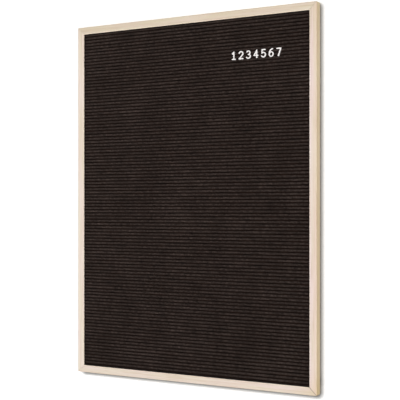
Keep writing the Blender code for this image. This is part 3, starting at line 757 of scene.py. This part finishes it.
def pad_material(settings):
    """Soft grey pad."""
    material, graph, shader, place = new_material("grey_pad")
    fibres = use_group(graph, "fibre_mottle", build_fibre_mottle, {
        "Vector": place, "Cloud Size": 0.004, "Fibre Size": 0.0004,
        "Light": settings.pad, "Dark": darker(settings.pad, PAD_SHADE)})
    graph.fill(shader, {
        "Base Color": fibres["Color"],
        "Roughness": 0.85,
        "Normal": graph.bump(fibres["Height"], distance=0.00015, strength=0.5)})
    return material


def dress(node, material):
    """Gives a carried-over solid its material."""
    mesh = NODES[node].data
    mesh.materials.clear()
    mesh.materials.append(material)


class Waver:
    """Smooth random line along a rib, the same each run."""

    WAVES = 4
    LONGEST = 0.22
    SHORTEST = 0.022

    def __init__(self, source):
        spread = math.log(self.LONGEST / self.SHORTEST)
        self.waves = [(self.SHORTEST * math.exp(source.random() * spread),
                       source.random() * 2 * math.pi) for _ in range(self.WAVES)]

    def at(self, along):
        total = sum(np.sin(2 * math.pi * along / span + phase) for span, phase in self.waves)
        return total / math.sqrt(self.WAVES)


def groove_middles(settings):
    """Heights of the grooves that the panel has room for, from the top down."""
    first = first_groove(settings)
    room = settings.groove_width / 2 + EDGE_RIB_MIN
    start = math.ceil((first - (FELT_HIGH.z - room)) / settings.pitch)
    stop = math.floor((first - (FELT_LOW.z + room)) / settings.pitch)
    return [first - index * settings.pitch for index in range(start, stop + 1)]


def rib_rows(settings, top, foot, crown):
    """Rows of points across one softly crowned rib, each as (y, z) along the rib."""
    rows = []
    for step in range(RIB_POINTS):
        across = -math.cos(math.pi * step / (RIB_POINTS - 1))
        fall = 1 - (1 - abs(across) ** RIB_POWER) ** (1 / RIB_POWER)
        height = top + (foot - top) * (across + 1) / 2
        rows.append((crown + settings.rib_round * fall, height))
    return rows


def felt_rows(settings, along):
    """Rows from the panel's top edge to its foot, each as (y, z) along a rib.

    Every rib's two edges and its crown stray a little on their own.
    """
    source = random.Random(WAVER_SEED)
    half = settings.groove_width / 2
    lips = [FELT_HIGH.z]
    for middle in groove_middles(settings):
        for side in (half, -half):
            lips.append(middle + side + settings.waver * Waver(source).at(along))
    lips.append(FELT_LOW.z)
    bottom = FELT_LOW.y + settings.groove_depth
    rows = []
    for top, foot in zip(lips[::2], lips[1::2]):
        if rows:
            rows += [(bottom, rows[-1][1]), (bottom, top)]
        sink = settings.waver * CROWN_SINK * (1 + Waver(source).at(along)) / 2
        rows += rib_rows(settings, top, foot, FELT_LOW.y + np.maximum(sink, 0))
    return rows


def build_felt_cover(settings):
    """The grooved panel with its felt: one closed mesh, finer than the solid it stands for."""
    along = np.linspace(FELT_LOW.x, FELT_HIGH.x, settings.stations + 1)
    rows = [(FELT_HIGH.y, FELT_HIGH.z), *felt_rows(settings, along), (FELT_HIGH.y, FELT_LOW.z)]
    count, width = len(rows), len(along)
    points = np.empty((count, width, 3))
    for index, (depth, height) in enumerate(rows):
        points[index, :, 0] = along
        points[index, :, 1] = depth
        points[index, :, 2] = height
    faces = []
    for row in range(count):
        after = (row + 1) % count
        for column in range(width - 1):
            a, b = row * width + column, after * width + column
            faces.append((a, b, b + 1, a + 1))
    faces.append([row * width for row in reversed(range(count))])
    faces.append([row * width + width - 1 for row in range(count)])
    mesh = bpy.data.meshes.new("felt_cover")
    mesh.from_pydata(points.reshape(-1, 3).tolist(), [], faces)
    mesh.update()
    mesh.shade_smooth()
    mesh.set_sharp_from_angle(angle=SHARP_ANGLE)
    return bpy.data.objects.new("felt_cover", mesh)


class FrameWood(Operator):
    """Gives each frame rail its own length of pale hardwood"""

    bl_idname = "board.frame_wood"
    bl_label = "Frame wood"

    def execute(self, context):
        settings = context.scene.board_wood
        for number, (node, rail) in enumerate(RAILS.items(), 1):
            dress(node, wood_material(node + "_wood", rail, number, settings))
        return {"FINISHED"}


class FeltCover(Operator):
    """Builds the felt-covered ribs in the frame's opening"""

    bl_idname = "board.felt_cover"
    bl_label = "Felt cover"

    def execute(self, context):
        settings = context.scene.board_felt
        cover = build_felt_cover(settings)
        context.scene.collection.objects.link(cover)
        cover.data.materials.append(felt_material(settings))
        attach(cover, "root")
        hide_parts("felt_panel")
        return {"FINISHED"}


class PushInDigits(Operator):
    """Finishes the white push-in digits"""

    bl_idname = "board.digits"
    bl_label = "Push-in digits"

    def execute(self, context):
        material = plastic_material(context.scene.board_digits)
        for node in DIGITS:
            dress(node, material)
        return {"FINISHED"}


class BackPieces(Operator):
    """Finishes the hardboard, the steel fixings and the pads on the back"""

    bl_idname = "board.back_pieces"
    bl_label = "Back pieces"

    def execute(self, context):
        settings = context.scene.board_back
        dress("backing_board", hardboard_material(settings))
        steel = steel_material(settings)
        for node in STEEL_PIECES:
            dress(node, steel)
        pad = pad_material(settings)
        for node in BUMPERS:
            dress(node, pad)
        return {"FINISHED"}


def add_sheet(name, matrix, material):
    """Flat, square stage sheet that faces its own +z."""
    mesh = bpy.data.meshes.new(name)
    half = STAGE_WIDTH / 2
    corners = [(-half, -half, 0), (half, -half, 0), (half, half, 0), (-half, half, 0)]
    mesh.from_pydata(corners, [], [(0, 1, 2, 3)])
    mesh.materials.append(material)
    sheet = bpy.data.objects.new(name, mesh)
    sheet.matrix_world = matrix
    bpy.context.scene.collection.objects.link(sheet)


def contact_shade(graph, reach, power):
    """Grey that darkens beside whatever stands on the wall, more below it than above."""
    normal = graph.add("ShaderNodeNewGeometry").outputs["Normal"]
    raised = graph.add("ShaderNodeVectorMath", {0: normal, 1: CONTACT_TILT}, operation="ADD")
    tilted = graph.add("ShaderNodeVectorMath", {0: raised.outputs[0]}, operation="NORMALIZE")
    open_share = graph.add("ShaderNodeAmbientOcclusion", {"Distance": reach,
                                                          "Normal": tilted.outputs[0]})
    return graph.grey(graph.maths("POWER", open_share.outputs["AO"], power))


def sight(graph):
    """Masks of what the camera sees straight, and of that with what metal and glass show."""
    path = graph.add("ShaderNodeLightPath").outputs
    direct = path["Is Camera Ray"]
    return direct, graph.total(direct, path["Is Glossy Ray"], path["Is Transmission Ray"],
                               clamp=True)


def stage_material(name, lift, contact=None):
    """White sheet, seen from its front only, that keeps a shadow and lets all other light by.

    Lift is the light that it adds for the camera. A polished piece sees it plain white.
    Contact gives the reach and the power of the shade beside what stands on the sheet.
    """
    material = bpy.data.materials.new(name)
    material.use_nodes = True
    material.node_tree.nodes.clear()
    graph = Graph(material.node_tree)
    direct, seen = sight(graph)
    behind = graph.add("ShaderNodeNewGeometry").outputs["Backfacing"]
    shown = graph.times(seen, graph.maths("SUBTRACT", 1.0, behind))
    shade = contact_shade(graph, *contact) if contact else (1.0, 1.0, 1.0)
    paint = graph.add("ShaderNodeBsdfDiffuse", {
        "Color": graph.blend(direct, (0.0, 0.0, 0.0), shade)})
    glow = graph.add("ShaderNodeEmission", {
        "Color": graph.blend(direct, (1.0, 1.0, 1.0), shade),
        "Strength": graph.remap(direct, 0.0, 1.0, 1.0, lift)})
    both = graph.add("ShaderNodeAddShader", {0: paint.outputs[0], 1: glow.outputs[0]})
    clear = graph.add("ShaderNodeBsdfTransparent")
    mixed = graph.add("ShaderNodeMixShader", {0: shown, 1: clear.outputs[0],
                                              2: both.outputs[0]})
    graph.add("ShaderNodeOutputMaterial", {"Surface": mixed.outputs[0]})
    return material


def add_lamp(name, heading, strength):
    """Far, soft lamp that gives a level on whatever faces it at the board's middle."""
    data = bpy.data.lights.new(name, "AREA")
    data.shape = "SQUARE"
    data.size = LAMP_SPREAD * LAMP_DISTANCE
    data.energy = strength * (math.pi * LAMP_DISTANCE) ** 2
    lamp = bpy.data.objects.new(name, data)
    lamp.location = BOARD_MIDDLE + Vector(heading).normalized() * LAMP_DISTANCE
    lamp.rotation_euler = Vector(heading).to_track_quat("Z", "Y").to_euler()
    bpy.context.scene.collection.objects.link(lamp)


def build_world(ambient):
    """Even white world: plain white where it is seen, softer where it lights."""
    world = bpy.data.worlds.new("studio")
    bpy.context.scene.world = world
    world.use_nodes = True
    graph = Graph(world.node_tree)
    _, seen = sight(graph)
    graph.fill(world.node_tree.nodes["Background"], {
        "Color": (1.0, 1.0, 1.0),
        "Strength": graph.remap(seen, 0.0, 1.0, ambient, 1.0)})


def add_camera(settings):
    """Level camera at the board's right, a little below its middle."""
    data = bpy.data.cameras.new("camera")
    data.lens = settings.lens
    data.sensor_width = SENSOR_WIDTH
    data.shift_y = settings.shift
    camera = bpy.data.objects.new("camera", data)
    reach, turn = settings.camera_distance, settings.camera_azimuth
    camera.location = BOARD_MIDDLE + Vector((reach * math.sin(turn), -reach * math.cos(turn),
                                             -settings.camera_drop))
    camera.rotation_euler = (math.pi / 2, 0, settings.camera_yaw)
    bpy.context.scene.collection.objects.link(camera)
    bpy.context.scene.camera = camera


class Stage(Operator):
    """Sets the camera, the lamps, the world, the wall and the floor"""

    bl_idname = "board.stage"
    bl_label = "Stage"

    def execute(self, context):
        settings = context.scene.board_stage
        context.scene.view_settings.view_transform = "Standard"
        add_camera(settings)
        build_world(settings.ambient)
        for name, heading in LAMPS.items():
            add_lamp(name + "_lamp", heading, getattr(settings, name + "_level"))
        upright = Matrix.Rotation(math.pi / 2, 4, "X")
        wall_place = Matrix.Translation((0, WALL_GAP, BOARD_MIDDLE.z)) @ upright
        contact = (settings.contact_reach, settings.contact_power)
        add_sheet("wall", wall_place, stage_material("wall_paint", WALL_GLOW, contact))
        floor_place = Matrix.Translation((0, 0, BOARD_BOTTOM - settings.floor_drop))
        add_sheet("floor", floor_place, stage_material("floor_paint", FLOOR_GLOW))
        return {"FINISHED"}


class BoardPanel(Panel):
    """Lists the steps that finish the letter board"""

    bl_label = "Letter board"
    bl_idname = "VIEW3D_PT_letter_board"
    bl_space_type = "VIEW_3D"
    bl_region_type = "UI"
    bl_category = "Letter board"

    def draw(self, context):
        for step in STEPS:
            self.layout.operator(step.bl_idname)
        for name in SETTINGS:
            box = self.layout.box()
            values = getattr(context.scene, name)
            for key in values.__annotations__:
                box.prop(values, key)


STEPS = (FrameWood, FeltCover, PushInDigits, BackPieces, Stage)


def register():
    for item in (*SETTINGS.values(), *STEPS, BoardPanel):
        bpy.utils.register_class(item)
    for name, item in SETTINGS.items():
        setattr(bpy.types.Scene, name, PointerProperty(type=item))


def unregister():
    for name in SETTINGS:
        delattr(bpy.types.Scene, name)
    for item in (BoardPanel, *reversed(STEPS), *SETTINGS.values()):
        bpy.utils.unregister_class(item)


def main():
    register()
    bpy.ops.board.frame_wood()
    bpy.ops.board.felt_cover()
    bpy.ops.board.digits()
    bpy.ops.board.back_pieces()
    bpy.ops.board.stage()


if __name__ == "__main__":
    main()
